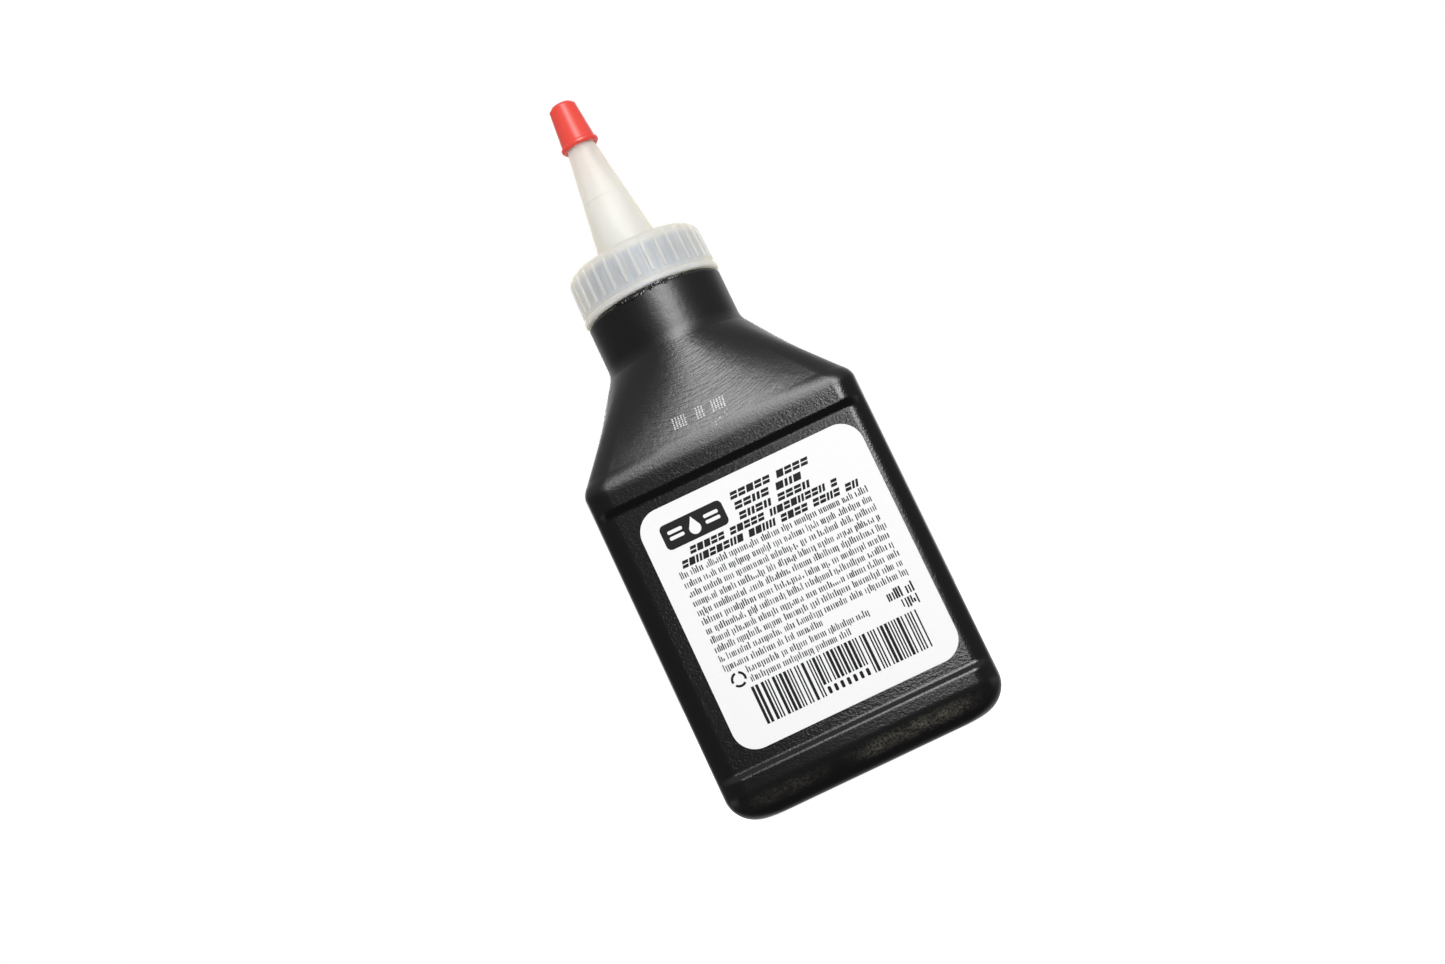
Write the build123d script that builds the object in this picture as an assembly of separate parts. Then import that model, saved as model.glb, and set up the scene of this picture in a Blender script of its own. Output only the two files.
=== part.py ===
from build123d import *
import math
import os

# A bottle of gear oil: a blown black shell, a ribbed closure with a long pouring spout,
# a small cap pushed over the spout, and a label on the front panel.
# Millimetres. The bottle stands on z = 0 and its front, with the label, faces -Y.

# Blown body, wider than deep
body_width = 59.6
body_depth = 40.0
body_corner_radius = 5.0
wall = 1.1

# Base: a rounded foot, and a hollow inside the ring that the bottle stands on
base_edge_radius = 7.0
standing_ring_width = 2.4
base_hollow_depth = 1.8
base_hollow_slope = 3.0

# Label panels, one set into the front and one into the rear, with a band below and above them
panel_recess = 1.0
panel_corner_radius = 4.1
lower_band_height = 2.3
lower_step_height = 1.6
panel_height = 55.5
upper_step_height = 2.1
upper_band_height = 3.5

# Shoulder, with the stretches over which it turns in from the band and up into the neck
shoulder_height = 24.9
shoulder_ease = 3.2
neck_ease = 2.4

# Neck, and the finish that the closure screws onto, drawn at the root of its thread
neck_diameter = 30.2
neck_height = 9.95
neck_edge = 0.6
finish_diameter = 25.1
finish_wall = 2.05
finish_height = 9.5
finish_edge = 0.5
thread_depth = 1.15

# Closure: skirt, top and spout in one moulding
closure_lift = 0.3
seal_gap = 0.2
thread_clearance = 0.25
closure_top_wall = 1.5
skirt_wall = 0.75
skirt_flare = 0.2
skirt_edge_radius = 1.6
rim_stand = 0.45
rim_height = 1.3
rim_edge = 0.3
spout_length = 33.55
spout_root_diameter = 13.9
spout_tip_diameter = 4.0
spout_root_edge = 0.7
spout_root_wall = 1.15
spout_tip_wall = 1.1

# Grip ribs round the skirt
rib_count = 32
rib_width = 0.8
rib_height = 0.28
rib_rim_gap = 1.1

# Cap pushed over the end of the spout
tip_overlap = 7.8
tip_clearance = 0.15
tip_top_gap = 0.3
tip_end_wall = 2.1
tip_mouth_wall = 0.5
tip_side_wall = 0.85
tip_edge = 0.6
tip_lip_stand = 0.38
tip_lip_height = 1.2
tip_lip_edge = 0.35

# Label, stuck a little to the right on the flat of the front panel
label_left_margin = 3.0
label_right_margin = 0.1
label_lower_margin = 2.35
label_upper_margin = 1.85
label_corner_radius = 4.8
label_thickness = 0.12

# Degrees: half of the neck's turn that each flat of the shoulder ends in, the first rib's place,
# the slant of a rib's sides, and where a rib runs out on the skirt's upper edge
neck_flat_turn = 38.0
first_rib_turn = -1.3
rib_side_slant = 25.0
rib_end_turn = 30.0

# Sections through each rounded or eased stretch, outside and in the hollow
ease_section_count = 6
hollow_section_count = 4

# Heights and radii that follow from the sizes above
panel_bottom = base_edge_radius + lower_band_height + lower_step_height
panel_top = panel_bottom + panel_height
shoulder_bottom = panel_top + upper_step_height + upper_band_height
neck_bottom = shoulder_bottom + shoulder_height
neck_top = neck_bottom + neck_height
neck_radius = neck_diameter / 2
finish_radius = finish_diameter / 2
finish_top = neck_top + finish_height
closure_bottom = neck_top + closure_lift
closure_ceiling = finish_top + seal_gap
closure_top = closure_ceiling + closure_top_wall
closure_bore_radius = finish_radius + thread_depth + thread_clearance
skirt_top = closure_top - skirt_edge_radius
skirt_bottom = closure_bottom + rim_height
skirt_top_radius = closure_bore_radius + skirt_wall
skirt_bottom_radius = skirt_top_radius + skirt_flare
rim_radius = skirt_bottom_radius + rim_stand
spout_top = closure_top + spout_length
spout_root_half = spout_root_diameter / 2
spout_tip_half = spout_tip_diameter / 2
spout_slope = (spout_root_half - spout_tip_half) / spout_length
tip_bottom = spout_top - tip_overlap
tip_top = spout_top + tip_top_gap + tip_end_wall
panel_face = body_depth / 2 - panel_recess


def blend(first, last, share):
    """Value at a share of the way from one size to another."""
    return first + share * (last - first)


def ring(width, depth, corner, height):
    """Level section of the body, a rectangle with round corners."""
    return Pos(0, 0, height) * RectangleRounded(width, depth, corner)


def panel_ring(inset, share, height):
    """Section of the body where the panels are set back by a share of their full depth."""
    corner = blend(body_corner_radius, panel_corner_radius, share)
    depth = body_depth - 2 * share * panel_recess
    return ring(body_width - 2 * inset, depth - 2 * inset, corner - inset, height)


def bow(start, middle, end, share):
    """Side of a shoulder section: straight on the body, bowed out above it."""
    return ThreePointArc(start, middle, end) if share > 0 else Line(start, end)


def shoulder_ring(inset, share, height):
    """Section on the way from the body's rectangle to the neck's circle, its eight arcs tangent."""
    turn = math.radians(share * neck_flat_turn)
    half_width = blend(body_width / 2, neck_radius, share) - inset
    half_depth = blend(body_depth / 2, neck_radius, share) - inset
    corner = blend(body_corner_radius, neck_radius, share) - inset
    lean = math.tan(turn / 2)
    reach_x = ((half_width - corner) - lean * (half_depth - corner)) / (1 - lean ** 2)
    reach_y = ((half_depth - corner) - lean * (half_width - corner)) / (1 - lean ** 2)
    side_end = (reach_x + corner * math.cos(turn), reach_y + corner * math.sin(turn))
    corner_middle = (reach_x + corner * math.sqrt(0.5), reach_y + corner * math.sqrt(0.5))
    front_end = (reach_x + corner * math.sin(turn), reach_y + corner * math.cos(turn))
    edges = []
    for side in (1, -1):
        low_side = (side * side_end[0], -side * side_end[1])
        high_side = (side * side_end[0], side * side_end[1])
        high_front = (side * front_end[0], side * front_end[1])
        far_front = (-side * front_end[0], side * front_end[1])
        far_side = (-side * side_end[0], side * side_end[1])
        near_corner = (side * corner_middle[0], side * corner_middle[1])
        far_corner = (-side * corner_middle[0], side * corner_middle[1])
        edges.append(bow(low_side, (side * half_width, 0), high_side, share))
        edges.append(ThreePointArc(high_side, near_corner, high_front))
        edges.append(bow(high_front, (0, side * half_depth), far_front, share))
        edges.append(ThreePointArc(far_front, far_corner, far_side))
    return Pos(0, 0, height) * make_face(edges)


def rounded_foot(inset, bottom, sections, ruled):
    """Foot of the body, drawn in towards the base along a quarter circle."""
    radius = base_edge_radius - inset
    corner = body_corner_radius - inset
    rings = []
    for index in range(sections):
        turn = math.radians(90 * index / (sections - 1))
        drawn_in = inset + radius * (1 - math.sin(turn))
        height = bottom + radius * (1 - math.cos(turn))
        rings.append(ring(body_width - 2 * drawn_in, body_depth - 2 * drawn_in, corner, height))
    return loft(rings, ruled=ruled)


def panel_step(inset, low, high, low_share, sections, ruled):
    """Soft step at one end of the panels, from a share of their depth to the rest of it."""
    rings = []
    for index in range(sections):
        run = index / (sections - 1)
        ease = (1 - math.cos(math.pi * run)) / 2
        rings.append(panel_ring(inset, blend(low_share, 1 - low_share, ease), blend(low, high, run)))
    return loft(rings, ruled=ruled)


def shoulder_share(rise):
    """Share of the way from body to neck at a rise above the shoulder's foot."""
    straight = shoulder_height - (shoulder_ease + neck_ease) / 2
    left = shoulder_height - rise
    if rise < shoulder_ease:
        return rise ** 2 / (2 * shoulder_ease * straight)
    if left < neck_ease:
        return 1 - left ** 2 / (2 * neck_ease * straight)
    return (rise - shoulder_ease / 2) / straight


def shoulder(inset, sections, ruled):
    """Shoulder in three stretches: eased at its foot, straight, eased into the neck."""
    slope = math.atan2(body_width - neck_diameter, 2 * shoulder_height)
    bottom = shoulder_bottom - inset * math.tan(slope / 2)
    foot = []
    root = []
    for index in range(sections):
        rise = shoulder_ease * index / (sections - 1)
        foot.append(shoulder_ring(inset, shoulder_share(rise), bottom + rise))
        rise = shoulder_height - neck_ease * (1 - index / (sections - 1))
        root.append(shoulder_ring(inset, shoulder_share(rise), bottom + rise))
    form = loft(foot, ruled=ruled) + loft([foot[-1], root[0]], ruled=True)
    return form + loft(root, ruled=ruled)


def body_form(inset, bottom, sections, ruled):
    """Body up to the neck: the outside with no inset, or the hollow with an inset of one wall."""
    foot_top = bottom + base_edge_radius - inset
    step_bottom = panel_bottom - lower_step_height
    step_top = panel_top + upper_step_height
    low_band = panel_ring(inset, 0, foot_top)
    panel = panel_ring(inset, 1, panel_bottom)
    high_band = panel_ring(inset, 0, step_top)
    top = shoulder(inset, sections, ruled)
    form = rounded_foot(inset, bottom, sections, ruled)
    form += extrude(low_band, amount=step_bottom - foot_top)
    form += panel_step(inset, step_bottom, panel_bottom, 0, sections, ruled)
    form += extrude(panel, amount=panel_height)
    form += panel_step(inset, panel_top, step_top, 1, sections, ruled)
    form += extrude(high_band, amount=top.bounding_box().min.Z - step_top)
    return form + top


def turned(outline):
    """Solid of revolution from an outline of radius and height."""
    return revolve(Plane.XZ * make_face(outline), Axis.Z)


def neck_form():
    """Neck and finish as one turned solid."""
    return turned([Polyline(
        (0, neck_bottom), (neck_radius, neck_bottom),
        (neck_radius, neck_top - neck_edge), (neck_radius - neck_edge, neck_top),
        (finish_radius, neck_top), (finish_radius, finish_top - finish_edge),
        (finish_radius - finish_edge, finish_top), (0, finish_top), close=True)])


def neck_hollow(bottom):
    """Hollow of the neck and the bore of the finish, up from a height in the shoulder."""
    inner = neck_radius - wall
    bore = finish_radius - finish_wall
    return turned([Polyline(
        (0, bottom), (inner, bottom), (inner, neck_top - wall), (bore, neck_top - wall),
        (bore, finish_top), (0, finish_top), close=True)])


def base_hollow():
    """Shallow hollow that leaves a ring to stand on."""
    edge = base_edge_radius + standing_ring_width
    corner = body_corner_radius - standing_ring_width
    low_width = body_width - 2 * edge
    low_depth = body_depth - 2 * edge
    high_width = low_width - 2 * base_hollow_slope
    high_depth = low_depth - 2 * base_hollow_slope
    low = ring(low_width, low_depth, corner, 0)
    return loft([low, ring(high_width, high_depth, corner, base_hollow_depth)], ruled=True)


def bottle():
    """Hollow shell with its panels, shoulder, neck and finish."""
    shell = body_form(0, 0, ease_section_count, False) + neck_form()
    hollow = body_form(wall, base_hollow_depth + wall, hollow_section_count, True)
    hollow += neck_hollow(hollow.bounding_box().max.Z)
    return shell - hollow - base_hollow()


def skirt_edge_point(turn):
    """Point on the skirt's rounded upper edge, at an angle round it."""
    turn = math.radians(turn)
    radius = skirt_top_radius - skirt_edge_radius * (1 - math.cos(turn))
    return (radius, skirt_top + skirt_edge_radius * math.sin(turn))


def closure_body():
    """Skirt with a rim, flat top and tapered hollow spout."""
    edge = [skirt_edge_point(turn) for turn in (0, rib_end_turn, 2 * rib_end_turn, 90)]
    root_start = (spout_root_half + spout_root_edge, closure_top)
    root_end = (spout_root_half - spout_slope * spout_root_edge, closure_top + spout_root_edge)
    return turned([Polyline(
        (closure_bore_radius, closure_ceiling), (closure_bore_radius, closure_bottom),
        (rim_radius - rim_edge, closure_bottom), (rim_radius, closure_bottom + rim_edge),
        (rim_radius, skirt_bottom - rim_edge), (skirt_bottom_radius, skirt_bottom), *edge,
        root_start, root_end, (spout_tip_half, spout_top), (spout_tip_half - spout_tip_wall, spout_top),
        (spout_root_half - spout_root_wall, closure_ceiling), close=True)])


def rib_section(surface, stand, height):
    """Level section of a rib that stands off the skirt, narrower at its crest."""
    root = closure_bore_radius + skirt_wall / 2
    crest = surface + stand
    slant = math.tan(math.radians(rib_side_slant))
    root_half = rib_width / 2 + (surface - root) * slant
    crest_half = rib_width / 2 - stand * slant
    outline = Polyline((root, -root_half), (crest, -crest_half), (crest, crest_half), (root, root_half),
                       close=True)
    return Pos(0, 0, height) * make_face(outline)


def rib():
    """One grip rib, running out on the skirt's upper edge."""
    low = skirt_bottom + rib_rim_gap
    low_share = (low - skirt_bottom) / (skirt_top - skirt_bottom)
    low_radius = blend(skirt_bottom_radius, skirt_top_radius, low_share)
    end_radius, end_height = skirt_edge_point(rib_end_turn)
    return loft([
        rib_section(low_radius, rib_height, low),
        rib_section(skirt_top_radius, rib_height, skirt_top),
        rib_section(end_radius, 0, end_height),
    ], ruled=True)


def spout_cap():
    """Ribbed screw closure and its spout."""
    one = rib()
    ribs = []
    for index in range(rib_count):
        ribs.append(Rot(0, 0, first_rib_turn - 90 + 360 * index / rib_count) * one)
    return closure_body() + ribs


def tip_cap():
    """Tapered cap with a lip at its open end, hollow to suit the spout."""
    lip_top = tip_bottom + tip_lip_height
    hollow_top = spout_top + tip_top_gap
    hollow_half = spout_tip_half + tip_clearance
    mouth = hollow_half + spout_slope * tip_overlap
    skirt_half = mouth + tip_mouth_wall
    lip_half = skirt_half + tip_lip_stand
    top_half = hollow_half + tip_side_wall
    return turned([Polyline(
        (0, tip_top), (0, hollow_top), (hollow_half, hollow_top), (hollow_half, spout_top),
        (mouth, tip_bottom), (lip_half - tip_lip_edge, tip_bottom), (lip_half, tip_bottom + tip_lip_edge),
        (lip_half, lip_top - tip_lip_edge), (skirt_half, lip_top),
        (top_half, tip_top - tip_edge), (top_half - tip_edge, tip_top), close=True)])


def label():
    """Thin sheet on the flat of the front panel."""
    width = body_width - 2 * panel_corner_radius - label_left_margin - label_right_margin
    height = panel_height - label_lower_margin - label_upper_margin
    shift = (label_left_margin - label_right_margin) / 2
    middle = Pos(shift, -panel_face, panel_bottom + label_lower_margin + height / 2)
    sheet = Plane.XZ * RectangleRounded(width, height, label_corner_radius)
    return middle * extrude(sheet, amount=label_thickness)


os.makedirs("parts", exist_ok=True)
export_step(bottle(), "parts/bottle.step")
export_step(spout_cap(), "parts/spout_cap.step")
export_step(tip_cap(), "parts/tip_cap.step")
export_step(label(), "parts/label.step")
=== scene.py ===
import bpy
import math
import random
from mathutils import Matrix, Vector
from mathutils.bvhtree import BVHTree


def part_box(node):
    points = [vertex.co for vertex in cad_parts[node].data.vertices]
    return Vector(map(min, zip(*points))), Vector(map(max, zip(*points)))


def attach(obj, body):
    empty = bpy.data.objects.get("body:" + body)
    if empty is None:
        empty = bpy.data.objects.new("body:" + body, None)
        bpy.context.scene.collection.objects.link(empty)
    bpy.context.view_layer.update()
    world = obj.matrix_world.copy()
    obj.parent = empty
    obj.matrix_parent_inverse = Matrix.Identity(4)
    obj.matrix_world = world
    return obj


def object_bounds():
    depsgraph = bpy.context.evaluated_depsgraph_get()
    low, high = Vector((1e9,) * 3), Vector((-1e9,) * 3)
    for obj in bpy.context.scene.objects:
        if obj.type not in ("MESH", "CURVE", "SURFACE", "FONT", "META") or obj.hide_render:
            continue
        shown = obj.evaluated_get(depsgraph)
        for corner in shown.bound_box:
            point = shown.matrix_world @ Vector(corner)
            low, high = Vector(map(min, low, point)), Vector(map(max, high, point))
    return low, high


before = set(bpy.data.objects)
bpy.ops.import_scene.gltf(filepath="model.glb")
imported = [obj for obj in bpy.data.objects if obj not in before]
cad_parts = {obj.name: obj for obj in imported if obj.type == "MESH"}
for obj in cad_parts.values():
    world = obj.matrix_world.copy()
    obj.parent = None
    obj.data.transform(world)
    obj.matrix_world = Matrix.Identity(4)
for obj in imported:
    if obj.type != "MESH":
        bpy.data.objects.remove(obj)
cad_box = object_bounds()

# Lengths are in metres, and most are written as a count of millimetres.
# Two values together: a change starts at the first and is complete at the second, unless said otherwise.
# Three together: something reaches from the first to the second, with ends softened by the third.
# A noise: the size of its lumps, its detail and its roughness.
MM = 0.001

# Photograph: its width and the lens in pixels, a sensor in millimetres, and the place it was taken from
IMAGE_WIDTH = 1445
FOCAL_PIXELS = 1700
SENSOR_WIDTH = 36.0
CAMERA_PLACE = Vector((-3.30, -353.92, 28.56)) * MM
CAMERA_TILT = math.radians(6.0)
CAMERA_ROLL = math.radians(25.38)
CAMERA_NEAR = 0.01
CAMERA_FAR = 50.0

# Places on the bottle and closure that the boxes of the nodes don't give
SHOULDER_FOOT = 72.0 * MM
NECK_RADIUS = 15.1 * MM
NECK_TOP = 106.85 * MM
FINISH_RADIUS = 12.55 * MM
FINISH_TOP = 116.35 * MM
CLOSURE_BORE = 13.95 * MM
SKIRT_RADIUS = 14.9 * MM

# Black shell: soft edges, grain below the shoulder, ripples and fine unevenness above, mould seam, specks
SHELL_BLACK = (0.0038, 0.0038, 0.0042, 1.0)
EDGE_SOFTNESS = 0.6 * MM
GRAIN_NOISE = (0.46 * MM, 2.0, 0.55)
GRAIN_DEPTH = 0.038 * MM
GRAIN_TOP = (SHOULDER_FOOT + 3.5 * MM, SHOULDER_FOOT + 1.5 * MM)
GRAIN_FOOT = (8.5 * MM, 12.0 * MM)
GRAIN_FOOT_SHARE = 0.55
RIPPLE_NOISE = (3.0 * MM, 2.0, 0.5)
RIPPLE_DEPTH = 0.05 * MM
FINE_NOISE = (0.7 * MM, 3.0, 0.65)
FINE_DEPTH = 0.024 * MM
SEAM_HALF = (0.28 * MM, 0.08 * MM)
SEAM_DEPTH = 0.08 * MM
SPECK_SPACING = 6.0 * MM
SPECK_SHARE = 0.022
SPECK_GREY = 0.28

# Shoulder: its slope and front, scuffs round a point on the axis, strongest in the middle,
# and the share by which the blown shape faces to the right of its solid, less so further up
SLOPE = (SHOULDER_FOOT + 2.5 * MM, 95.0 * MM, 2.0 * MM)
SLOPE_FRONT = (-6.0 * MM, -11.0 * MM)
SCUFF_CENTRE = 108.0 * MM
SCUFF_SIZE = 0.45 * MM
SCUFFS_PER_RADIAN = 6.0
SCUFF_DETAIL = 3.0
SCUFF_ROUGHNESS = 0.6
SCUFF_DEPTH = 0.056 * MM
SCUFF_MIDDLE = (-16.0 * MM, 10.0 * MM, 6.0 * MM)
SCUFF_REST_SHARE = 0.35
SHOULDER_TURN = 0.052
SHOULDER_TURN_RUN = (100.0 * MM, SHOULDER_FOOT)

# Gloss of the shell: its roughness, and what is added below the shoulder, on it, in scuffs and on the foot
SHELL_ROUGH = 0.35
BODY_ROUGH = -0.18
SLOPE_ROUGH = -0.05
SCUFF_ROUGH = 0.16
FOOT_ROUGH = 0.18
BODY_TOP = (SHOULDER_FOOT + 1.0 * MM, SHOULDER_FOOT - 1.5 * MM)
WORN_FOOT = (7.0 * MM, 4.5 * MM)
SHELL_GLOSS = 0.57

# Dirt rubbed into the foot
DUST_COLOUR = (0.105, 0.096, 0.074, 1.0)
DUST_GRAIN = (0.4 * MM, 4.0, 0.75)
DUST_GRAIN_LEVELS = (0.40, 0.62)
DUST_CLOUD = (4.0 * MM, 4.0, 0.65)
DUST_CLOUD_LEVELS = (0.26, 0.60)
DUST_HEIGHT = (3.0 * MM, 5.4 * MM, 1.0 * MM)
DUST_RIGHT = (-1.0 * MM, 21.0 * MM, 6.0 * MM)
DUST_LEFT = (-25.0 * MM, -10.0 * MM, 4.0 * MM)
DUST_LEFT_SHARE = 0.3
DUST_FRONT = (-10.0 * MM, -13.0 * MM)

# Milky closure: cream, with painted pink light near the tip cap standing in for the red cap's glow, and a
# faint line round the spout, and a skirt with painted shade, bluish where the black finish shows through the
# wall, painted upright streaks of light and shade, and painted light on the ribs and rim
CREAM = (0.97, 0.95, 0.895, 1.0)
# Painted pink light for the red tip cap's glow on the spout
PAINTED_TIP_GLOW = (0.91, 0.82, 0.785, 1.0)
PAINTED_TIP_GLOW_RUN = (128.0 * MM, 146.0 * MM)
LINE_COLOUR = (0.70, 0.66, 0.60, 1.0)
LINE_SHARE = 0.35
LINE_HEIGHT = 131.1 * MM
LINE_HALF = (0.25 * MM, 0.08 * MM)
LINE_END = (2.5 * MM, 0.0)
# Painted shade on the skirt for the black finish seen through it, with painted streaks, and painted light on
# the ribs and rim
PAINTED_FINISH_SHADE_RUN = (FINISH_TOP + 0.2 * MM, FINISH_TOP - 1.3 * MM)
WALL_PAINTED_SHADE_DEEP = (0.65, 0.69, 0.74, 1.0)
WALL_PAINTED_SHADE_PALE = (0.80, 0.82, 0.85, 1.0)
WALL_PAINTED_STREAK_NOISE = (1.1 * MM, 3.0, 0.6)
WALL_PAINTED_STREAK_LEVELS = (0.35, 0.68)
WALL_PAINTED_STREAK_STRETCH = 0.12
RIB_PAINTED_LIGHT = (0.96, 0.96, 0.95, 1.0)
RIB_PAINTED_LIGHT_RADII = (SKIRT_RADIUS + 0.02 * MM, SKIRT_RADIUS + 0.14 * MM)
RIM_PAINTED_LIGHT = (0.92, 0.91, 0.88, 1.0)
RIM_PAINTED_LIGHT_SHARE = 0.6
RIM_PAINTED_LIGHT_FADE = (NECK_TOP + 3.2 * MM, NECK_TOP + 1.6 * MM)
CLOSURE_NOISE = (4.0 * MM, 2.0, 0.5)
CLOSURE_DEPTH = 0.05 * MM
CLOSURE_SHEEN = (1.0, 0.91, 0.66, 1.0)
CLOSURE_SCATTER = 2.5 * MM

# Red tip cap and white label stock
TIP_RED = (0.79, 0.060, 0.040, 1.0)
TIP_NOISE = (1.4 * MM, 2.0, 0.5)
TIP_DEPTH = 0.03 * MM
TIP_SCATTER = 0.6 * MM
PAPER_NOISE = (0.5 * MM, 3.0, 0.5)
PAPER_DEPTH = 0.01 * MM
PAPER_DARK = 0.78
PAPER_LIGHT = 0.83

# Print: how far ink stands out of the label's face and is sunk into it,
# and the stroke, pitch and height of small text
INK_BLACK = (0.006, 0.006, 0.0065, 1.0)
INK_PROUD = 0.02 * MM
INK_SUNK = 0.01 * MM
TEXT_STROKE = 0.2 * MM
TEXT_PITCH = 0.44 * MM
TEXT_TALL = 1.02 * MM

# Bold marks of the title, in shares of a mark's width or height, and running shares of their kinds
TITLE_SLANT = 0.3
TITLE_GAP = 0.16
TITLE_SPACE = 0.7
TITLE_SPACE_CHANCE = 0.3
TITLE_GROUP_LEAST = 4
TITLE_BAR = 0.43
TITLE_STEM = 0.4
TITLE_PAIRS_TO = 0.5
TITLE_BLOCKS_TO = 0.75

# Ticks of the small text, in shares of their height, stroke or pitch, with ranges to draw from,
# and running shares of their kinds
TICKS_TOGETHER = (3, 16)
TICK_SPACE = 1.1
TICK_RISE = 0.4
TICK_FALL = 0.3
TICK_CUTS = (0.0, 0.5)
TICKS_RISE_TO = 0.22
TICKS_FALL_TO = 0.30
TICKS_CUT_TO = 0.42
TICK_STROKES = (0.85, 1.3)
TICK_PITCHES = (0.8, 1.25)

# Field of bars: its narrowest bar in shares of the label's width, and widths and gaps in counts of it
BAR_MODULE = 0.0062
BAR_WIDTHS = (1, 1, 1, 2, 2)
BAR_GAPS = (1, 1, 1, 2)

# Threads of the finish and of the closure, and how many steps one turn and the run-out at an end have
THREAD_PITCH = 4.23 * MM
THREAD_TURNS = 1.3
THREAD_ROOT_HALF = 0.95 * MM
THREAD_CREST_HALF = 0.35 * MM
THREAD_SUNK = 0.1 * MM
THREAD_END_SHARE = 0.05
TURN_STEPS = 72
RUN_OUT_STEPS = 8
FINISH_THREAD_CREST = 13.65 * MM
FINISH_THREAD_RISE = 2.0 * MM
CLOSURE_THREAD_STAND = 0.2 * MM
CLOSURE_THREAD_RISE = 2.4 * MM

# Burr under the closure: a wandering edge, with a torn lump placed by shares of the edge's length.
# Its drop and its stand are each the least and what a full lump adds, and RAGGED is a range to draw from.
BURR_COLUMNS = 120
BURR_HALF_TURN = math.radians(30)
BURR_STEP = 0.22
BURR_PULL = 0.08
BURR_MIDDLE = 0.5
BURR_FADE = 0.6
BURR_DROP = (0.45 * MM, 1.25 * MM)
BURR_STAND = (0.05 * MM, 0.38 * MM)
BURR_SUNK = 0.25 * MM
BURR_LOWER_EDGE = 0.15 * MM
BURR_UPPER_EDGE = 0.5 * MM
BURR_TOP_GAP = 0.05 * MM
BURR_ROUGH = 0.28
TEAR_PLACE = 0.40
TEAR_HALF = 0.06
TEAR_SHARE = 0.6
RAGGED = (0.5, 1.0)

# Sprayed code: groups of dotted strokes by left end and count, and smaller dots smeared below them,
# each placed by a ray from the front. Dots are given by a range of radius, a smear by middle and spread.
CODE_GROUPS = ((-7.3 * MM, 5), (-2.2 * MM, 3), (1.2 * MM, 5))
CODE_ROWS = 6
CODE_FOOT = 77.3 * MM
CODE_STROKE_PITCH = 0.62 * MM
CODE_ROW_PITCH = 0.42 * MM
CODE_LEAN = 0.05 * MM
CODE_JITTER = 0.05 * MM
CODE_DOTS = (0.14 * MM, 0.20 * MM)
SMEAR_COUNT = 16
SMEAR_ACROSS = (1.6 * MM, 1.0 * MM)
SMEAR_HEIGHT = (75.6 * MM, 0.5 * MM)
SMEAR_DOTS = (0.05 * MM, 0.14 * MM)
DOT_SIDES = 8
DOT_PROUD = 0.015 * MM
CODE_RAY_START = -100.0 * MM

# Soft boxes: azimuth, elevation and lean in degrees, distance, width and height
KEY_BOX = (15.8, 21.9, 41.0, 0.9, 0.41, 0.56)
BACK_BOX = (180.0, 22.0, 0.0, 0.9, 0.30, 0.45)
TABLE_BOX = (8.0, -3.5, 0.0, 0.6, 0.105, 0.073)

# Lights: the box, its power in watts, and whether it counts in gloss or on dull surfaces
LIGHTS = (
    ("key_gloss", KEY_BOX, 8.6, True),
    ("key_fill", KEY_BOX, 3.4, False),
    ("back_gloss", BACK_BOX, 3.0, True),
    ("back_fill", BACK_BOX, 1.2, False),
    ("table_glow", TABLE_BOX, 0.25, True),
)

# Surroundings in gloss: where along an axis of direction the brightness changes, and its value at both ends
OVERHEAD = (0.0, 0.95, 0.13, 0.45)
BEHIND = (0.6, 1.0, 0.0, 0.7)
RIGHT = (0.3, 0.9, 0.0, 0.05)
BELOW = (-0.5, -0.1, -0.09, 0.0)
FLOOR_GLOW = (-0.35, -0.10, 0.45, 0.0)
FLOOR_GLOW_SIDES = (0.75, 0.95)
RIGHT_REAR = (0.4, 0.9, 0.0, 0.35)
RIGHT_REAR_SIDE = (0.3, 0.6)

# Even surroundings for other rays, and the floor
EVEN_LIGHT = (("Is Diffuse Ray", 0.85), ("Is Transmission Ray", 1.0), ("Is Camera Ray", 1.0))
FLOOR_HALF = 4.0
FLOOR_DROP = 0.1 * MM
FLOOR_GREY = 0.5
FLOOR_BRIGHTNESS = 0.94

label_low, label_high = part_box("label")
label_width = label_high.x - label_low.x
label_height = label_high.z - label_low.z
label_face = label_low.y
draw = random.Random(7)


def grey(level):
    """Opaque grey colour."""
    return (level, level, level, 1.0)


# Materials

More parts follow.
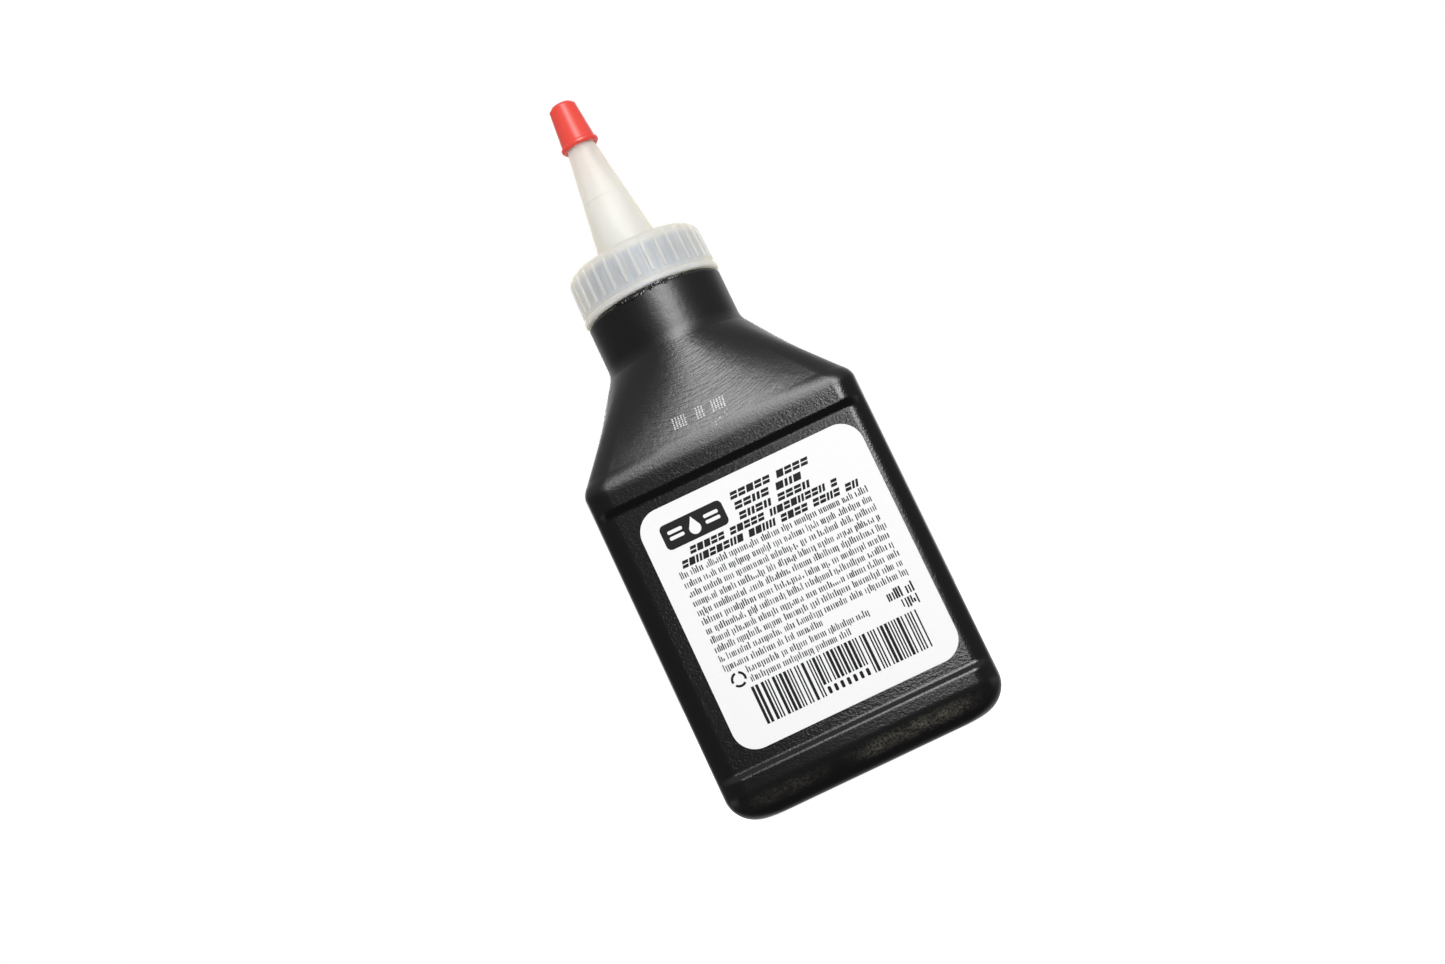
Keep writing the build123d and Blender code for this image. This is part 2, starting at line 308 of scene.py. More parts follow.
class Tree:
    """Nodes of a material or world, with short ways to add and join them."""

    def __init__(self, owner):
        owner.use_nodes = True
        self.owner = owner
        self.nodes = owner.node_tree.nodes
        self.links = owner.node_tree.links

    def add(self, kind, **inputs):
        """New node, its inputs set from numbers or joined to sockets."""
        node = self.nodes.new("ShaderNode" + kind)
        for name, value in inputs.items():
            self.put(node.inputs[name.replace("_", " ")], value)
        return node

    def put(self, socket, value):
        """Sets a socket to a number or colour, or joins it to another socket."""
        if isinstance(value, bpy.types.NodeSocket):
            self.links.new(value, socket)
        else:
            socket.default_value = value

    def set(self, **inputs):
        """Sets sockets of a material's own shader."""
        shader = self.nodes["Principled BSDF"]
        for name, value in inputs.items():
            self.put(shader.inputs[name.replace("_", " ")], value)

    def math(self, operation, *values):
        """Result of a Math node."""
        node = self.nodes.new("ShaderNodeMath")
        node.operation = operation
        for socket, value in zip(node.inputs, values):
            self.put(socket, value)
        return node.outputs[0]

    def times(self, first, second):
        """Product of two values."""
        return self.math("MULTIPLY", first, second)

    def length(self, across, along):
        """Length of a step across and a step along."""
        return self.math("SQRT", self.math("ADD", self.times(across, across), self.times(along, along)))

    def at_least(self, share, least):
        """A share from 0 to 1, brought into the range from a least value to 1."""
        return self.math("MULTIPLY_ADD", share, 1.0 - least, least)

    def scaled(self, value, low, high, at_low, at_high):
        """One number up to a low value and another from a high one, smooth between."""
        node = self.nodes.new("ShaderNodeMapRange")
        node.interpolation_type = "SMOOTHSTEP"
        self.put(node.inputs["Value"], value)
        for name, number in (("From Min", low), ("From Max", high), ("To Min", at_low), ("To Max", at_high)):
            node.inputs[name].default_value = number
        return node.outputs["Result"]

    def ramp(self, value, start, full):
        """0 at a start and 1 where it is full, smooth between. The start may be the higher of the two."""
        if start > full:
            return self.scaled(value, full, start, 1.0, 0.0)
        return self.scaled(value, start, full, 0.0, 1.0)

    def between(self, value, low, high, soft):
        """1 inside a range, with soft edges."""
        rising = self.ramp(value, low - soft, low + soft)
        falling = self.ramp(value, high + soft, high - soft)
        return self.times(rising, falling)

    def blend(self, share, first, last):
        """Colour at a share of the way from one to another."""
        node = self.nodes.new("ShaderNodeMix")
        node.data_type = "RGBA"
        self.put(node.inputs["Factor"], share)
        self.put(node.inputs["A"], first)
        self.put(node.inputs["B"], last)
        return node.outputs["Result"]

    def point(self):
        """Object coordinates."""
        return self.add("TexCoord").outputs["Object"]

    def apart(self, vector):
        """The three numbers of a point or direction."""
        parts = self.add("SeparateXYZ", Vector=vector).outputs
        return parts["X"], parts["Y"], parts["Z"]

    def noise(self, point, size, detail, roughness):
        """Noise whose lumps are about one size across."""
        node = self.add("TexNoise", Vector=point, Scale=1.0 / size, Detail=detail, Roughness=roughness)
        return node.outputs["Fac"]

    def bump(self, height, depth, before=None):
        """Normal bent by a height, of which 1 stands for a depth in metres."""
        node = self.add("Bump", Height=height, Distance=depth)
        if before is not None:
            self.put(node.inputs["Normal"], before)
        return node.outputs["Normal"]

    def lean(self, normal, across):
        """Normal turned to the right by a share of its length."""
        turned = self.add("CombineXYZ", X=across, Y=0.0, Z=0.0).outputs[0]
        total = self.nodes.new("ShaderNodeVectorMath")
        total.operation = "ADD"
        self.put(total.inputs[0], normal)
        self.put(total.inputs[1], turned)
        unit = self.nodes.new("ShaderNodeVectorMath")
        unit.operation = "NORMALIZE"
        self.put(unit.inputs[0], total.outputs[0])
        return unit.outputs[0]


def material_tree(name):
    """Nodes of a new material."""
    return Tree(bpy.data.materials.new(name))


def shoulder_streaks(tree, x, z):
    """Noise drawn out into arcs round a point on the axis."""
    drop_z = tree.math("SUBTRACT", SCUFF_CENTRE, z)
    reach = tree.times(tree.length(x, drop_z), 1.0 / SCUFF_SIZE)
    turn = tree.times(tree.math("ARCTAN2", x, drop_z), SCUFFS_PER_RADIAN)
    arcs = tree.add("CombineXYZ", X=reach, Y=turn, Z=0.0).outputs[0]
    return tree.noise(arcs, 1.0, SCUFF_DETAIL, SCUFF_ROUGHNESS)


def shoulder_scuffs(tree, x, z, on_front_slope):
    """Height of the scuffs on the front of the shoulder, above and below its surface."""
    share = tree.at_least(tree.between(x, *SCUFF_MIDDLE), SCUFF_REST_SHARE)
    streak = tree.math("SUBTRACT", shoulder_streaks(tree, x, z), 0.5)
    return tree.times(streak, tree.times(on_front_slope, share))


def foot_dust(tree, point, x, y, z):
    """Share of pale dirt rubbed into the rounded foot at the front, more of it on the right."""
    left_side = tree.times(tree.between(x, *DUST_LEFT), DUST_LEFT_SHARE)
    dust = tree.math("ADD", tree.between(x, *DUST_RIGHT), left_side)
    dust = tree.times(dust, tree.between(z, *DUST_HEIGHT))
    dust = tree.times(dust, tree.ramp(y, *DUST_FRONT))
    dust = tree.times(dust, tree.ramp(tree.noise(point, *DUST_CLOUD), *DUST_CLOUD_LEVELS))
    return tree.times(dust, tree.ramp(tree.noise(point, *DUST_GRAIN), *DUST_GRAIN_LEVELS))


def shell_normal(tree, point, y, z, scuffs):
    """Surface of the shell: soft edges, grain, scuffs, ripples, fine unevenness and the mould seam."""
    pebbled = tree.ramp(z, *GRAIN_TOP)
    smooth = tree.math("SUBTRACT", 1.0, pebbled)
    grain = tree.times(pebbled, tree.at_least(tree.ramp(z, *GRAIN_FOOT), GRAIN_FOOT_SHARE))
    soft_edges = tree.add("Bevel", Radius=EDGE_SOFTNESS).outputs["Normal"]
    normal = tree.bump(tree.times(tree.noise(point, *GRAIN_NOISE), grain), GRAIN_DEPTH, soft_edges)
    normal = tree.bump(scuffs, SCUFF_DEPTH, normal)
    normal = tree.bump(tree.times(tree.noise(point, *RIPPLE_NOISE), smooth), RIPPLE_DEPTH, normal)
    normal = tree.bump(tree.times(tree.noise(point, *FINE_NOISE), smooth), FINE_DEPTH, normal)
    return tree.bump(tree.ramp(tree.math("ABSOLUTE", y), *SEAM_HALF), SEAM_DEPTH, normal)


def shell_colour(tree, point, x, y, z):
    """Black, with dirt on the foot and a few pale specks."""
    colour = tree.blend(foot_dust(tree, point, x, y, z), SHELL_BLACK, DUST_COLOUR)
    cells = tree.add("TexVoronoi", Vector=point, Scale=1.0 / SPECK_SPACING)
    speck = tree.math("LESS_THAN", cells.outputs["Distance"], SPECK_SHARE)
    return tree.blend(speck, colour, grey(SPECK_GREY))


def shell_material():
    """Black blown plastic: pebbled below the shoulder, smoother and scuffed above, dusty at the foot."""
    tree = material_tree("black_shell_plastic")
    point = tree.point()
    x, y, z = tree.apart(point)
    on_slope = tree.between(z, *SLOPE)
    on_front_slope = tree.times(on_slope, tree.ramp(y, *SLOPE_FRONT))
    scuffs = shoulder_scuffs(tree, x, z, on_front_slope)
    turn = tree.times(tree.ramp(z, *SHOULDER_TURN_RUN), SHOULDER_TURN)
    normal = tree.lean(shell_normal(tree, point, y, z, scuffs), tree.times(on_front_slope, turn))
    rough = SHELL_ROUGH
    for share, more in ((tree.ramp(z, *BODY_TOP), BODY_ROUGH), (on_slope, SLOPE_ROUGH),
                        (scuffs, SCUFF_ROUGH), (tree.ramp(z, *WORN_FOOT), FOOT_ROUGH)):
        rough = tree.math("MULTIPLY_ADD", share, more, rough)
    tree.set(Base_Color=shell_colour(tree, point, x, y, z), Roughness=rough, Normal=normal)
    tree.set(Specular_IOR_Level=SHELL_GLOSS)
    return tree.owner


def spout_colour_and_painted_glow(tree, x, z):
    """Cream, with painted pink light near the tip cap for the red cap's glow, and a faint line round the left
    of the spout.
    """
    # Painted pink light near the tip cap
    colour = tree.blend(tree.ramp(z, *PAINTED_TIP_GLOW_RUN), CREAM, PAINTED_TIP_GLOW)
    off_line = tree.math("ABSOLUTE", tree.math("SUBTRACT", z, LINE_HEIGHT))
    line = tree.times(tree.ramp(off_line, *LINE_HALF), tree.ramp(x, *LINE_END))
    return tree.blend(tree.times(line, LINE_SHARE), colour, LINE_COLOUR)


def skirt_painted_shade_and_light(tree, x, y, z):
    """Painted shade and light: bluish wall where the black finish shows through, painted upright streaks, and
    painted light on the ribs and rim.
    """
    # Painted bluish shade of the black finish behind the wall, broken by painted upright streaks of light and
    # shade
    upright = tree.add("CombineXYZ", X=x, Y=y, Z=tree.times(z, WALL_PAINTED_STREAK_STRETCH)).outputs[0]
    streak = tree.ramp(tree.noise(upright, *WALL_PAINTED_STREAK_NOISE), *WALL_PAINTED_STREAK_LEVELS)
    colour = tree.blend(streak, WALL_PAINTED_SHADE_DEEP, WALL_PAINTED_SHADE_PALE)
    # Painted light on the thicker ribs
    colour = tree.blend(tree.ramp(tree.length(x, y), *RIB_PAINTED_LIGHT_RADII), colour, RIB_PAINTED_LIGHT)
    # Painted light on the thicker rim
    return tree.blend(tree.times(tree.ramp(z, *RIM_PAINTED_LIGHT_FADE), RIM_PAINTED_LIGHT_SHARE), colour, RIM_PAINTED_LIGHT)


def closure_material():
    """Milky natural plastic, cream above, with painted bluish shade over the black finish and painted light
    on the ribs and rim.
    """
    tree = material_tree("natural_closure_plastic")
    point = tree.point()
    x, y, z = tree.apart(point)
    # Below the finish's top: the skirt's painted shade and light; above it: cream with the painted glow of
    # the tip cap
    colour = tree.blend(tree.ramp(z, *PAINTED_FINISH_SHADE_RUN), spout_colour_and_painted_glow(tree, x, z), skirt_painted_shade_and_light(tree, x, y, z))
    normal = tree.bump(tree.noise(point, *CLOSURE_NOISE), CLOSURE_DEPTH)
    tree.set(Base_Color=colour, Roughness=0.5, Normal=normal)
    tree.set(Sheen_Weight=0.9, Sheen_Roughness=0.5, Sheen_Tint=CLOSURE_SHEEN)
    tree.set(Subsurface_Weight=1.0, Subsurface_Radius=(1.0, 0.94, 0.86), Subsurface_Scale=CLOSURE_SCATTER)
    tree.set(Transmission_Weight=0.45, IOR=1.45)
    return tree.owner


def tip_material():
    """Red moulded plastic with a soft gloss."""
    tree = material_tree("red_tip_plastic")
    normal = tree.bump(tree.noise(tree.point(), *TIP_NOISE), TIP_DEPTH)
    tree.set(Base_Color=TIP_RED, Roughness=0.36, Normal=normal)
    tree.set(Subsurface_Weight=0.12, Subsurface_Radius=(1.0, 0.3, 0.2), Subsurface_Scale=TIP_SCATTER)
    return tree.owner


def paper_material():
    """White label stock with a faint grain."""
    tree = material_tree("label_stock")
    fibre = tree.noise(tree.point(), *PAPER_NOISE)
    colour = tree.blend(fibre, grey(PAPER_DARK), grey(PAPER_LIGHT))
    tree.set(Base_Color=colour, Roughness=0.5, Normal=tree.bump(fibre, PAPER_DEPTH))
    return tree.owner


def plain_material(name, colour, gloss=0.5, rough=0.5):
    """One colour all over."""
    tree = material_tree(name)
    tree.set(Base_Color=colour, Roughness=rough, Specular_IOR_Level=gloss)
    return tree.owner


shell = shell_material()
closure = closure_material()
tip = tip_material()
paper = paper_material()
burr = plain_material("torn_shell_plastic", SHELL_BLACK, rough=BURR_ROUGH)
ink = plain_material("label_ink", INK_BLACK, gloss=0.15)
bare_paper = plain_material("badge_white", grey(0.80))
mark_ink = plain_material("code_ink", grey(0.60))

for node, material in (("bottle", shell), ("spout_cap", closure), ("tip_cap", tip), ("label", paper)):
    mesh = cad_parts[node].data
    mesh.materials.clear()
    mesh.materials.append(material)


# Pieces made of plain meshes

def add_piece(name, points, faces, material, body):
    """New mesh that rides on a body."""
    mesh = bpy.data.meshes.new(name)
    mesh.from_pydata(points, [], faces)
    mesh.materials.append(material)
    piece = bpy.data.objects.new(name, mesh)
    bpy.context.scene.collection.objects.link(piece)
    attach(piece, body)
    return piece


def swept_faces(columns, ring):
    """Faces of a closed bar: sides along its columns of ring points, and both ends."""
    faces = []
    for column in range(columns):
        for side in range(ring):
            a = ring * column + side
            b = ring * column + (side + 1) % ring
            faces.append((a, a + ring, b + ring, b))
    faces.append(tuple(range(ring)))
    faces.append(tuple(ring * columns + side for side in reversed(range(ring))))
    return faces


# Print on the label

class Ink:
    """Flat printed shapes on the label, gathered into one closed mesh."""

    def __init__(self, proud=INK_PROUD):
        self.points = []
        self.faces = []
        self.front = label_face - proud
        self.back = label_face + INK_SUNK

    def shape(self, outline):
        """Prism over an outline in shares of the label, across and down from its upper left corner."""
        first = len(self.points)
        count = len(outline)
        for depth in (self.front, self.back):
            for across, down in outline:
                x = label_low.x + across * label_width
                z = label_high.z - down * label_height
                self.points.append((x, depth, z))
        near = [first + index for index in range(count)]
        far = [first + count + index for index in range(count)]
        self.faces.append(near)
        self.faces.append(far[::-1])
        for index in range(count):
            after = (index + 1) % count
            self.faces.append((near[index], far[index], far[after], near[after]))

    def bar(self, left, right, top, bottom, slant=0.0):
        """Upright bar, its top moved to the right by a slant."""
        self.shape([(left, bottom), (right, bottom), (right + slant, top), (left + slant, top)])

    def piece(self, name, material):
        """Puts the gathered shapes on the bottle as one piece."""
        add_piece(name, self.points, self.faces, material, "bottle_body")


def tall_share(across):
    """Share of the label's height that is as long as a share of its width."""
    return across * label_width / label_height


def rounded(left, right, top, bottom, corner, steps=6):
    """Outline of a rectangle with round corners, in shares of the label."""
    tall = tall_share(corner)
    middles = ((right - corner, bottom - tall), (right - corner, top + tall),
               (left + corner, top + tall), (left + corner, bottom - tall))
    outline = []
    for quarter, (across, down) in enumerate(middles):
        for step in range(steps + 1):
            turn = math.radians(90 * (quarter + step / steps))
            outline.append((across + corner * math.sin(turn), down + tall * math.cos(turn)))
    return outline


def drop(across, down, radius, point, half_turn=130, steps=20):
    """Outline of a drop: a circle, open above, drawn up to a point."""
    outline = []
    for step in range(steps + 1):
        turn = math.radians(-half_turn + 2 * half_turn * step / steps)
        outline.append((across + radius * math.sin(turn), down + tall_share(radius) * math.cos(turn)))
    outline.append((across, down - tall_share(point)))
    return outline


def arc(ink_shapes, across, down, radius, width, start, turn, steps=8):
    """Band of short quads round part of a circle."""
    inner = radius - width
    for step in range(steps):
        after = step + 1
        corners = []
        for reach, share in ((inner, step), (radius, step), (radius, after), (inner, after)):
            angle = math.radians(start + turn * share / steps)
            corners.append((across + reach * math.cos(angle), down - tall_share(reach) * math.sin(angle)))
        ink_shapes.shape(corners)


def title_row(ink_shapes, left, right, top, bottom, letters):
    """Bold slanted marks in groups, where a title stood."""
    tall = bottom - top
    slant = TITLE_SLANT * tall * label_height / label_width
    width = (right - left) / (letters + 1.0)
    gap = TITLE_GAP * width
    lower = 1.0 - TITLE_BAR
    across = left
    since_space = 0
    while across + width < right:
        if since_space >= TITLE_GROUP_LEAST and draw.random() < TITLE_SPACE_CHANCE:
            across += TITLE_SPACE * width
            since_space = 0
            continue
        kind = draw.random()
        end = across + width - gap
        if kind < TITLE_PAIRS_TO:
            for share in (0.0, lower):
                shift = slant * (lower - share)
                bar_top = top + share * tall
                bar_bottom = bar_top + TITLE_BAR * tall
                ink_shapes.bar(across + shift, end + shift, bar_top, bar_bottom, TITLE_BAR * slant)
        elif kind < TITLE_BLOCKS_TO:
            ink_shapes.bar(across, end, top, bottom, slant)
        else:
            stem = TITLE_STEM * (end - across)
            ink_shapes.bar(across, across + stem, top, bottom, slant)
            ink_shapes.bar(end - stem, end, top, bottom, slant)
        across += width
        since_space += 1


def text_row(ink_shapes, left, right, middle, tall, stroke, pitch):
    """Row of small upright ticks in groups, where a line of text stood."""
    across = left
    ticks_left = draw.randint(*TICKS_TOGETHER)
    while across + stroke < right:
        if ticks_left == 0:
            ticks_left = draw.randint(*TICKS_TOGETHER)
            across += TICK_SPACE * pitch
            continue
        top, bottom = middle - tall / 2, middle + tall / 2
        kind = draw.random()
        if kind < TICKS_RISE_TO:
            top -= TICK_RISE * tall
        elif kind < TICKS_FALL_TO:
            bottom += TICK_FALL * tall
        elif kind < TICKS_CUT_TO:
            top += draw.choice(TICK_CUTS) * tall
        ink_shapes.bar(across, across + stroke * draw.uniform(*TICK_STROKES), top, bottom)
        across += pitch * draw.uniform(*TICK_PITCHES)
        ticks_left -= 1


def bar_field(ink_shapes, left, right, top, bottom, cut_left, cut_right, cut_bottom):
    """Upright bars of mixed widths, shorter over a gap in their lower edge."""
    across = left
    while across < right:
        width = BAR_MODULE * draw.choice(BAR_WIDTHS)
        inside = across + width > cut_left and across < cut_right
        ink_shapes.bar(across, across + width, top, cut_bottom if inside else bottom)
        across += width + BAR_MODULE * draw.choice(BAR_GAPS)


# What is printed where, in shares of the label from its upper left corner

def print_badge():
    """Dark field with a drop between two pairs of short bars."""
    field = Ink()
    field.shape(rounded(left=0.081, right=0.36, top=0.069, bottom=0.171, corner=0.022))
    field.piece("print_badge", ink)
    marks = Ink(2 * INK_PROUD)
    marks.shape(drop(across=0.2205, down=0.131, radius=0.025, point=0.052))
    bar_tall = 0.014
    for left, right in ((0.107, 0.172), (0.269, 0.334)):
        for top in (0.099, 0.123):
            marks.shape(rounded(left, right, top, top + bar_tall, corner=0.006))
    marks.piece("print_badge_marks", bare_paper)


def print_title():
    """Three rows of bold marks beside the badge and two wider ones below it."""
    title = Ink()
    beside_badge = 0.40
    row_tall = 0.0285
    for top, right, letters in ((0.065, 0.767, 9), (0.107, 0.717, 7), (0.149, 0.733, 8)):
        title_row(title, beside_badge, right, top, top + row_tall, letters)
    title_row(title, left=0.158, right=0.854, top=0.188, bottom=0.216, letters=21)
    title_row(title, left=0.104, right=0.908, top=0.226, bottom=0.255, letters=25)
    title.piece("print_title", ink)


def print_text():
    """Block of small text, two rows beside the symbol and two bolder ones at the right."""
    text = Ink()
    stroke = TEXT_STROKE / label_width
    pitch = TEXT_PITCH / label_width
    tall = TEXT_TALL / label_height
    block_left, block_right, last_right = 0.081, 0.9275, 0.53
    first_row, row_spacing, last_row = 0.280, 0.0389, 10
    for row in range(last_row + 1):
        right = last_right if row == last_row else block_right
        text_row(text, block_left, right, first_row + row_spacing * row, tall, stroke, pitch)
    beside_symbol = 0.164
    for right, middle in ((0.718, 0.709), (0.615, 0.747)):
        text_row(text, beside_symbol, right, middle, tall, stroke, pitch)
    bold_tall, bold_stroke, bold_pitch = 1.5 * tall, 1.6 * stroke, 1.3 * pitch
    for left, middle in ((0.804, 0.692), (0.85, 0.732)):
        text_row(text, left, block_right, middle, bold_tall, bold_stroke, bold_pitch)
    text.piece("print_text", ink)


def print_symbol():
    """Three arcs in a ring."""
    symbol = Ink()
    for start in (100, 220, 340):
        arc(symbol, across=0.119, down=0.727, radius=0.033, width=0.010, start=start, turn=92)
    symbol.piece("print_symbol", ink)


def print_bars():
    """Field of bars that encodes nothing, with seven short marks in the gap of its lower edge."""
    bars = Ink()
    bar_field(bars, left=0.148, right=0.882, top=0.773, bottom=0.927,
              cut_left=0.417, cut_right=0.625, cut_bottom=0.885)
    first_left, mark_pitch, mark_wide = 0.428, 0.0285, 0.014
    for index in range(7):
        left = first_left + mark_pitch * index
        bars.shape(rounded(left, left + mark_wide, top=0.896, bottom=0.925, corner=0.005, steps=3))
    bars.piece("print_bars", ink)


print_badge()
print_title()
print_text()
print_symbol()
print_bars()


# Threads, burr and code marks

def thread(name, sunk, crest, low, body, material):
    """Helical ridge between two radii, run out at both ends."""
    steps = int(TURN_STEPS * THREAD_TURNS)
    points = []
    for step in range(steps + 1):
        angle = 2 * math.pi * THREAD_TURNS * step / steps
        height = low + THREAD_PITCH * THREAD_TURNS * step / steps
        rise = min(1.0, step / RUN_OUT_STEPS, (steps - step) / RUN_OUT_STEPS)
        reach = sunk + (crest - sunk) * (THREAD_END_SHARE + (1.0 - THREAD_END_SHARE) * rise)
        section = ((sunk, -THREAD_ROOT_HALF), (reach, -THREAD_CREST_HALF),
                   (reach, THREAD_CREST_HALF), (sunk, THREAD_ROOT_HALF))
        for radius, offset in section:
            points.append((radius * math.cos(angle), radius * math.sin(angle), height + offset))
    faces = swept_faces(steps, len(section))
    if crest < sunk:
        faces = [face[::-1] for face in faces]
    piece = add_piece(name, points, faces, material, body)
    piece.data.polygons.foreach_set("use_smooth", [True] * len(faces))


thread("finish_thread", FINISH_RADIUS - THREAD_SUNK, FINISH_THREAD_CREST, NECK_TOP + FINISH_THREAD_RISE,
       "bottle_body", shell)
thread("closure_thread", CLOSURE_BORE + THREAD_SUNK, CLOSURE_BORE - CLOSURE_THREAD_STAND,
       NECK_TOP + CLOSURE_THREAD_RISE, "closure_body", closure)


def wandering_edge():
    """Shares from 0 to 1 along the burr, each near the one before and drawn back to the middle."""
    wander = BURR_MIDDLE
    lumps = []
    for column in range(BURR_COLUMNS + 1):
        wander += draw.uniform(-BURR_STEP, BURR_STEP) + BURR_PULL * (BURR_MIDDLE - wander)
        wander = min(1.0, max(0.0, wander))
        lumps.append(wander)
    return lumps


def neck_flash():
    """Ragged burr left on the neck under the closure, at the front."""
    least_drop, more_drop = BURR_DROP
    least_stand, more_stand = BURR_STAND
    sunk = NECK_RADIUS - BURR_SUNK
    top = NECK_TOP - BURR_TOP_GAP
    points = []
    for column, wander in enumerate(wandering_edge()):
        share = column / BURR_COLUMNS
        fade = math.sin(math.pi * share) ** BURR_FADE
        angle = -BURR_HALF_TURN + 2 * BURR_HALF_TURN * share
        tear = math.exp(-((share - TEAR_PLACE) / TEAR_HALF) ** 2)
        lump = wander * fade + TEAR_SHARE * tear * draw.uniform(*RAGGED)
        low = NECK_TOP - least_drop - more_drop * lump
        proud = NECK_RADIUS + least_stand + more_stand * lump * draw.uniform(*RAGGED)
        section = ((sunk, low), (proud, low + BURR_LOWER_EDGE), (proud, low + BURR_UPPER_EDGE),
                   (NECK_RADIUS, top), (sunk, top))
        for radius, height in section:
            points.append((radius * math.sin(angle), -radius * math.cos(angle), height))
    faces = swept_faces(BURR_COLUMNS, len(section))
    add_piece("neck_flash", points, faces, burr, "bottle_body")


neck_flash()


def surface_of(node):
    """Search tree over a node's own mesh."""
    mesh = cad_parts[node].data
    return BVHTree.FromPolygons([v.co for v in mesh.vertices], [p.vertices for p in mesh.polygons])


def front_of(surface, x, z):
    """Point and normal of a surface where it is met from the front."""
    return surface.ray_cast(Vector((x, CODE_RAY_START, z)), Vector((0, 1, 0)))[:2]


def dot(points, faces, centre, normal, radius):
    """Small round disc that lies on a surface."""
    side = normal.cross(Vector((0, 0, 1))).normalized()
    up = side.cross(normal)
    first = len(points)
    for depth in (DOT_PROUD, -DOT_PROUD):
        for turn in range(DOT_SIDES):
            angle = 2 * math.pi * turn / DOT_SIDES
            points.append(centre + normal * depth + radius * (math.cos(angle) * side + math.sin(angle) * up))
    near = [first + turn for turn in range(DOT_SIDES)]
    far = [first + DOT_SIDES + turn for turn in range(DOT_SIDES)]
    faces.append(near[::-1])
    faces.append(far)
    for turn in range(DOT_SIDES):
        after = (turn + 1) % DOT_SIDES
        faces.append((near[turn], near[after], far[after], far[turn]))


def code_marks():
    """Dotted strokes in three groups on the front of the shoulder, where a code was sprayed."""
    surface = surface_of("bottle")
    points, faces = [], []
    for group_left, strokes in CODE_GROUPS:
        for stroke in range(strokes):
            for row in range(CODE_ROWS):
                x = group_left + CODE_STROKE_PITCH * stroke + CODE_LEAN * row
                x += draw.uniform(-CODE_JITTER, CODE_JITTER)
                z = CODE_FOOT + CODE_ROW_PITCH * row + draw.uniform(-CODE_JITTER, CODE_JITTER)
                centre, normal = front_of(surface, x, z)
                dot(points, faces, centre, normal, draw.uniform(*CODE_DOTS))
    for smear in range(SMEAR_COUNT):
        x = draw.gauss(*SMEAR_ACROSS)
        z = draw.gauss(*SMEAR_HEIGHT)
        centre, normal = front_of(surface, x, z)
        dot(points, faces, centre, normal, draw.uniform(*SMEAR_DOTS))
    add_piece("code_marks", points, faces, mark_ink, "bottle_body")


code_marks()


# Camera

def make_camera():
    """Camera at the photograph's place, tilted up and rolled."""
    right = Vector((1.0, 0.0, 0.0))
    forward = Vector((0.0, math.cos(CAMERA_TILT), math.sin(CAMERA_TILT)))
    up = right.cross(forward)
    image_right = math.cos(CAMERA_ROLL) * right - math.sin(CAMERA_ROLL) * up
    image_up = math.sin(CAMERA_ROLL) * right + math.cos(CAMERA_ROLL) * up
    data = bpy.data.cameras.new("camera")
    data.sensor_fit = "HORIZONTAL"
    data.sensor_width = SENSOR_WIDTH
    data.lens = SENSOR_WIDTH * FOCAL_PIXELS / IMAGE_WIDTH
    data.clip_start = CAMERA_NEAR
    data.clip_end = CAMERA_FAR
    camera = bpy.data.objects.new("camera", data)
    bpy.context.scene.collection.objects.link(camera)
    turn = Matrix((image_right, image_up, -forward)).transposed().to_4x4()
    camera.matrix_world = Matrix.Translation(CAMERA_PLACE) @ turn
    bpy.context.scene.camera = camera


make_camera()


# Light, floor and background

def area_light(name, azimuth, elevation, lean, distance, width, height, power, in_gloss):
    """Soft box that looks at the middle of the object, its upper edge leaning to the left."""
    azimuth, elevation, lean = (math.radians(angle) for angle in (azimuth, elevation, lean))
    aim = (cad_box[0] + cad_box[1]) / 2
    away = Vector((math.sin(azimuth) * math.cos(elevation), -math.cos(azimuth) * math.cos(elevation),
                   math.sin(elevation)))
    level = Vector((math.cos(azimuth), math.sin(azimuth), 0.0))
    rise = away.cross(level)
    across = math.cos(lean) * level + math.sin(lean) * rise
    up = math.cos(lean) * rise - math.sin(lean) * level
    data = bpy.data.lights.new(name, "AREA")
    data.shape = "RECTANGLE"
    data.size = width
    data.size_y = height
    data.energy = power
    light = bpy.data.objects.new(name, data)
    turn = Matrix((across, up, away)).transposed().to_4x4()
    light.matrix_world = Matrix.Translation(aim + distance * away) @ turn
    light.visible_camera = False
    light.visible_glossy = in_gloss
    light.visible_diffuse = not in_gloss
    bpy.context.scene.collection.objects.link(light)


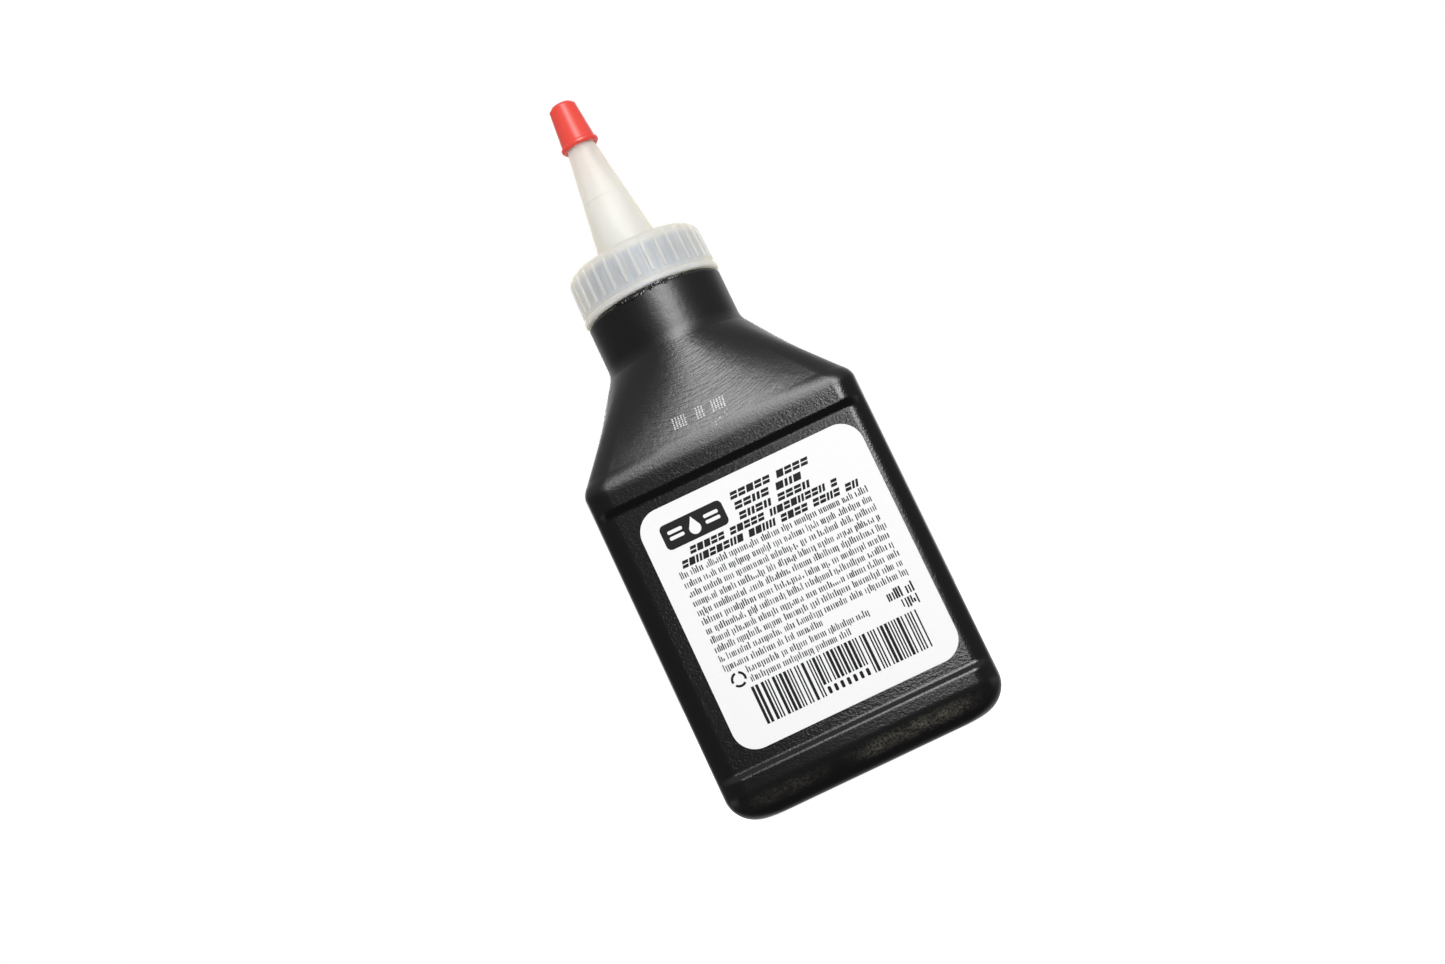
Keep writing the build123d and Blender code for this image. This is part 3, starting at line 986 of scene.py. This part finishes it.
def gloss_strength(tree):
    """Brightness in gloss: dim, darker below, lighter overhead, behind, at the right and low at the sides."""
    x, y, z = tree.apart(tree.add("TexCoord").outputs["Generated"])
    low_sides = tree.ramp(tree.math("ABSOLUTE", x), *FLOOR_GLOW_SIDES)
    floor_glow = tree.times(tree.scaled(z, *FLOOR_GLOW), low_sides)
    right_rear = tree.times(tree.scaled(y, *RIGHT_REAR), tree.ramp(x, *RIGHT_REAR_SIDE))
    behind = tree.scaled(y, *BEHIND)
    right = tree.scaled(x, *RIGHT)
    below = tree.scaled(z, *BELOW)
    total = tree.scaled(z, *OVERHEAD)
    for more in (behind, right, below, floor_glow, right_rear):
        total = tree.math("ADD", total, more)
    return total


def make_world():
    """Dim and uneven in what the object reflects, and an even light to other rays."""
    world = bpy.data.worlds.new("studio")
    bpy.context.scene.world = world
    tree = Tree(world)
    tree.nodes.clear()
    surface = tree.add("Background", Color=grey(1.0), Strength=gloss_strength(tree)).outputs[0]
    path = tree.add("LightPath").outputs
    for ray, strength in EVEN_LIGHT:
        even = tree.add("Background", Color=grey(1.0), Strength=strength).outputs[0]
        mix = tree.add("MixShader", Fac=path[ray])
        tree.put(mix.inputs[1], surface)
        tree.put(mix.inputs[2], even)
        surface = mix.outputs[0]
    tree.add("OutputWorld", Surface=surface)
    world.cycles.sampling_method = "NONE"


def make_floor():
    """Pale floor that fades into the background."""
    low = -FLOOR_DROP
    corners = [(-FLOOR_HALF, -FLOOR_HALF, low), (FLOOR_HALF, -FLOOR_HALF, low),
               (FLOOR_HALF, FLOOR_HALF, low), (-FLOOR_HALF, FLOOR_HALF, low)]
    mesh = bpy.data.meshes.new("floor")
    mesh.from_pydata(corners, [], [(0, 1, 2, 3)])
    floor = bpy.data.objects.new("floor", mesh)
    bpy.context.scene.collection.objects.link(floor)
    tree = material_tree("floor_white")
    tree.set(Base_Color=grey(FLOOR_GREY), Roughness=1.0, Specular_IOR_Level=0.0)
    tree.set(Emission_Color=grey(1.0), Emission_Strength=FLOOR_BRIGHTNESS)
    mesh.materials.append(tree.owner)
    floor.visible_glossy = False
    floor.visible_diffuse = False


make_world()
make_floor()
for light_name, box, power, in_gloss in LIGHTS:
    area_light(light_name, *box, power, in_gloss)
bpy.context.scene.view_settings.view_transform = "Standard"
